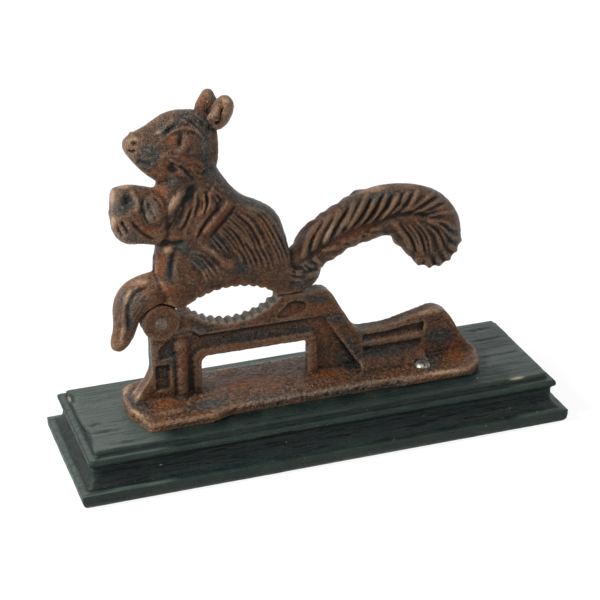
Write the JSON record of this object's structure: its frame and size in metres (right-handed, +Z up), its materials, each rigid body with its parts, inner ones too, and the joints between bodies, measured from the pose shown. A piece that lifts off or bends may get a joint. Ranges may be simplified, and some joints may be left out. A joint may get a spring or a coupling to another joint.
{
  "type": "lever nutcracker press",
  "caption": "Cast-iron squirrel nutcracker on a moulded wooden plinth: lifting the tail opens a toothed jaw and pressing it down cracks the nut.",
  "frame": {"origin": "middle of the plinth's underside", "axes": "+X along the plinth from the squirrel's nose to its tail, +Z up, -Y towards the user"},
  "size_m": [0.28, 0.093, 0.2042],
  "materials": {
    "cast_iron": "rough, rusty brown patina",
    "dark_wood": "dark green-black stain, matte",
    "rivet_iron": "rough, rusty brown patina",
    "screw_steel": "dull plated"
  },
  "bodies": {
    "base": {"wooden_base": "dark_wood", "jaw_frame": "cast_iron", "pivot_rivet": "rivet_iron", "front_flange_screw": "screw_steel", "rear_flange_screw": "screw_steel"},
    "lever": {"squirrel_lever": "cast_iron"}
  },
  "joints": [
    {"name": "lever_pivot", "type": "hinge", "parent": "base", "child": "lever", "pos_m": [-0.0837, 0, 0.0808], "axis": [0, -1, 0], "range_deg": [0, 38]}
  ]
}
